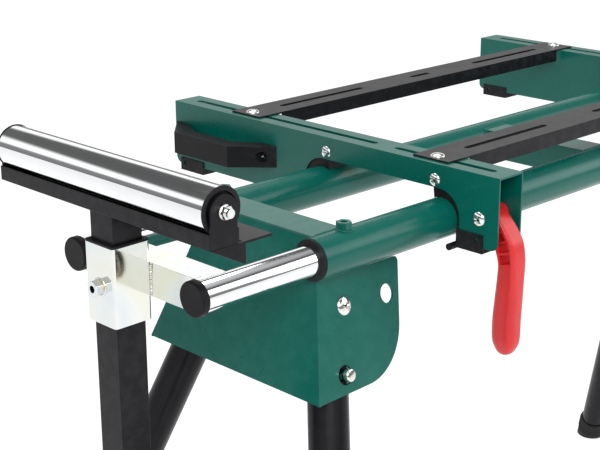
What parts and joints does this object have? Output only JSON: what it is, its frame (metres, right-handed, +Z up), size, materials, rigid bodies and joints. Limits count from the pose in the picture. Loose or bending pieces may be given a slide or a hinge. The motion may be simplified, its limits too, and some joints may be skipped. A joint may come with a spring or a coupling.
{
  "type": "mitre saw stand",
  "caption": "Folding stand for a mitre saw: long tubes on splayed folding legs, a pull-out roller support at each end, sliding cross beams with slotted rails and clamp levers.",
  "frame": {"origin": "centre of the overall box, on the floor under the stand", "axes": "+X along the long tubes towards the right roller support, +Y to the rear where the beams overhang, +Z up"},
  "size_m": [1.6488, 0.8514, 1.027],
  "materials": {
    "green_paint": "semi-gloss powder coat",
    "black_paint": "satin powder coat",
    "black_plastic": "fine moulded texture",
    "red_plastic": "satin moulded",
    "zinc": "clear passivated zinc plate",
    "chrome": "polished plate",
    "rubber": "matt"
  },
  "bodies": {
    "stand_frame": {"front_tube": "green_paint", "rear_tube": "green_paint", "left_bracket": "green_paint", "right_bracket": "green_paint", "middle_member": "green_paint", "tube_bushes": "black_plastic", "tube_nuts": "green_paint", "leg_pivot_bolts": "zinc"},
    "left_front_leg_assembly": {"left_front_leg": "black_paint", "left_front_foot": "rubber"},
    "left_front_lock_button": {"left_front_button": "zinc"},
    "left_rear_leg_assembly": {"left_rear_leg": "black_paint", "left_rear_foot": "rubber"},
    "left_rear_lock_button": {"left_rear_button": "zinc"},
    "right_front_leg_assembly": {"right_front_leg": "black_paint", "right_front_foot": "rubber"},
    "right_front_lock_button": {"right_front_button": "zinc"},
    "right_rear_leg_assembly": {"right_rear_leg": "black_paint", "right_rear_foot": "rubber"},
    "right_rear_lock_button": {"right_rear_button": "zinc"},
    "left_extension_slide": {"left_slide_tubes": "chrome", "left_tube_plugs": "black_plastic", "left_crossbar": "zinc", "left_sleeve": "zinc", "left_sleeve_nut": "zinc", "left_collar": "black_plastic"},
    "left_roller_post": {"left_post": "black_paint", "left_roller_bracket": "black_paint", "left_stop_plate": "black_paint", "left_axle": "zinc"},
    "left_support_roller": {"left_roller": "chrome", "left_roller_ends": "black_plastic"},
    "left_clamp_lever": {"left_lever": "red_plastic"},
    "right_extension_slide": {"right_slide_tubes": "chrome", "right_tube_plugs": "black_plastic", "right_crossbar": "zinc", "right_sleeve": "zinc", "right_sleeve_nut": "zinc", "right_collar": "black_plastic"},
    "right_roller_post": {"right_post": "black_paint", "right_roller_bracket": "black_paint", "right_stop_plate": "black_paint", "right_axle": "zinc"},
    "right_support_roller": {"right_roller": "chrome", "right_roller_ends": "black_plastic"},
    "right_clamp_lever": {"right_lever": "red_plastic"},
    "machine_frame": {"left_beam": "green_paint", "right_beam": "green_paint", "saddle_pads": "black_plastic", "clamp_feet": "black_plastic", "handle": "black_plastic", "handle_screws": "zinc", "saddle_screws": "zinc", "lever_bolts": "zinc"},
    "rear_machine_rail": {"rear_rail": "black_paint", "rear_rail_bolts": "zinc"},
    "front_machine_rail": {"front_rail": "black_paint", "front_rail_bolts": "zinc"}
  },
  "joints": [
    {"name": "left_front_leg_fold", "type": "hinge", "parent": "stand_frame", "child": "left_front_leg_assembly", "pos_m": [-0.55145, -0.09062, 0.80743], "axis": [0.0874, -0.9527, 0.2912], "range_deg": [0, 102]},
    {"name": "left_rear_leg_fold", "type": "hinge", "parent": "stand_frame", "child": "left_rear_leg_assembly", "pos_m": [-0.55145, 0.09062, 0.80743], "axis": [-0.0874, -0.9527, -0.2912], "range_deg": [0, 102]},
    {"name": "right_front_leg_fold", "type": "hinge", "parent": "stand_frame", "child": "right_front_leg_assembly", "pos_m": [0.55145, -0.12662, 0.80743], "axis": [0.0874, 0.9527, -0.2912], "range_deg": [0, 98]},
    {"name": "right_rear_leg_fold", "type": "hinge", "parent": "stand_frame", "child": "right_rear_leg_assembly", "pos_m": [0.55145, 0.12662, 0.80743], "axis": [-0.0874, 0.9527, 0.2912], "range_deg": [0, 98]},
    {"name": "left_front_button_press", "type": "slide", "parent": "stand_frame", "child": "left_front_lock_button", "axis": [-0.0874, 0.9527, -0.2912], "range_m": [0, 0.0125], "stiffness_N_per_m": 400, "springref_m": -0.004},
    {"name": "left_rear_button_press", "type": "slide", "parent": "stand_frame", "child": "left_rear_lock_button", "axis": [-0.0874, -0.9527, -0.2912], "range_m": [0, 0.0125], "stiffness_N_per_m": 400, "springref_m": -0.004},
    {"name": "right_front_button_press", "type": "slide", "parent": "stand_frame", "child": "right_front_lock_button", "axis": [0.0874, 0.9527, -0.2912], "range_m": [0, 0.0125], "stiffness_N_per_m": 400, "springref_m": -0.004},
    {"name": "right_rear_button_press", "type": "slide", "parent": "stand_frame", "child": "right_rear_lock_button", "axis": [0.0874, -0.9527, -0.2912], "range_m": [0, 0.0125], "stiffness_N_per_m": 400, "springref_m": -0.004},
    {"name": "left_extension", "type": "slide", "parent": "stand_frame", "child": "left_extension_slide", "axis": [-1, 0, 0], "range_m": [-0.12, 0.3]},
    {"name": "left_roller_height", "type": "slide", "parent": "left_extension_slide", "child": "left_roller_post", "axis": [0, 0, 1], "range_m": [-0.009, 0.15]},
    {"name": "left_roller_spin", "type": "hinge", "parent": "left_roller_post", "child": "left_support_roller", "pos_m": [-0.7927, 0, 1.001], "axis": [0, 1, 0], "continuous": true},
    {"name": "right_extension", "type": "slide", "parent": "stand_frame", "child": "right_extension_slide", "axis": [1, 0, 0], "range_m": [-0.12, 0.3]},
    {"name": "right_roller_height", "type": "slide", "parent": "right_extension_slide", "child": "right_roller_post", "axis": [0, 0, 1], "range_m": [-0.009, 0.15]},
    {"name": "right_roller_spin", "type": "hinge", "parent": "right_roller_post", "child": "right_support_roller", "pos_m": [0.7927, 0, 1.001], "axis": [0, 1, 0], "continuous": true},
    {"name": "machine_frame_slide", "type": "slide", "parent": "stand_frame", "child": "machine_frame", "axis": [1, 0, 0], "range_m": [-0.15, 0.09]},
    {"name": "rear_rail_slide", "type": "slide", "parent": "machine_frame", "child": "rear_machine_rail", "axis": [0, 1, 0], "range_m": [-0.23, 0.11]},
    {"name": "front_rail_slide", "type": "slide", "parent": "machine_frame", "child": "front_machine_rail", "axis": [0, 1, 0], "range_m": [-0.085, 0.065]},
    {"name": "left_lever_release", "type": "hinge", "parent": "machine_frame", "child": "left_clamp_lever", "pos_m": [-0.338, -0.168, 0.892], "axis": [-1, 0, 0], "range_deg": [0, 75]},
    {"name": "right_lever_release", "type": "hinge", "parent": "machine_frame", "child": "right_clamp_lever", "pos_m": [0.394, -0.168, 0.892], "axis": [-1, 0, 0], "range_deg": [0, 75]}
  ]
}
